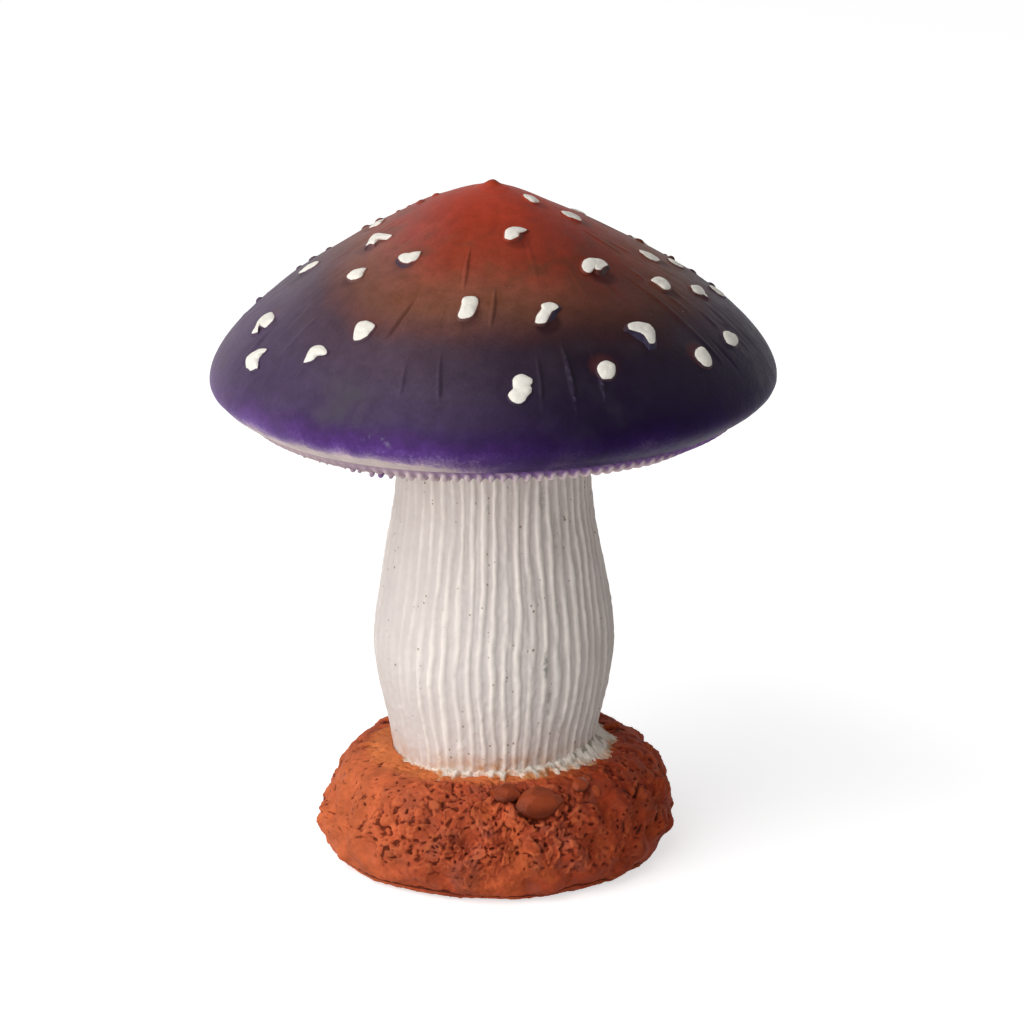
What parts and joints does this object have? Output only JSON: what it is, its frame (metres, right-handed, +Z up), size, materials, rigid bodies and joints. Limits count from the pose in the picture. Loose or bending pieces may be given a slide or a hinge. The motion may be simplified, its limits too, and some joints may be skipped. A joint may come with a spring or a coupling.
{
  "type": "mushroom aquarium ornament",
  "caption": "Free-standing mushroom ornament for an aquarium: red to violet warted cap over white gills, ribbed white stem, clay-coloured soil mound with bedded pebbles.",
  "frame": {"origin": "centre of the flat underside of the mound, on the surface that it stands on", "axes": "+Z up along the stem, -Y towards the front with the pebbles, +X to the right seen from the front"},
  "size_m": [0.1124, 0.1124, 0.1392],
  "materials": {
    "soil": "rough terracotta paint over a pitted casting, darker in the pits",
    "pebble": "smooth dark brown paint, slightly satin",
    "filler": "crumbly off-white filler stained orange",
    "stem_white": "matt off-white paint, grey in the furrows, with pinholes",
    "gill_white": "matt pinkish white, violet overspray at the outer ends",
    "cap_paint": "satin airbrushed fade from red at the crown through brown to violet at the rim",
    "wart_white": "white dabbed paint on raised warts"
  },
  "bodies": {
    "root": {"base_mound": "soil", "large_pebble": "pebble", "small_pebble": "pebble", "grit_pebble": "pebble", "filler_ring": "filler", "stem": "stem_white", "gill_disc": "gill_white", "cap": "cap_paint", "crown_knob": "cap_paint", "wart_01": "wart_white", "wart_02": "wart_white", "wart_03": "wart_white", "wart_04": "wart_white", "wart_05": "wart_white", "wart_06": "wart_white", "wart_07": "wart_white", "wart_08": "wart_white", "wart_09": "wart_white", "wart_10": "wart_white", "wart_11": "wart_white", "wart_12": "wart_white", "wart_13": "wart_white", "wart_14": "wart_white", "wart_15": "wart_white", "wart_16": "wart_white", "wart_17": "wart_white", "wart_18": "wart_white", "wart_19": "wart_white", "wart_20": "wart_white", "wart_21": "wart_white", "wart_22": "wart_white", "wart_23": "wart_white", "wart_24": "wart_white", "wart_25": "wart_white", "wart_26": "wart_white", "wart_27": "wart_white", "wart_28": "wart_white", "wart_29": "wart_white", "wart_30": "wart_white", "wart_31": "wart_white", "wart_32": "wart_white", "wart_33": "wart_white", "wart_34": "wart_white", "wart_35": "wart_white", "wart_36": "wart_white", "wart_37": "wart_white", "wart_38": "wart_white", "wart_39": "wart_white", "wart_40": "wart_white", "wart_41": "wart_white", "wart_42": "wart_white", "wart_43": "wart_white", "wart_44": "wart_white"}
  },
  "joints": []
}
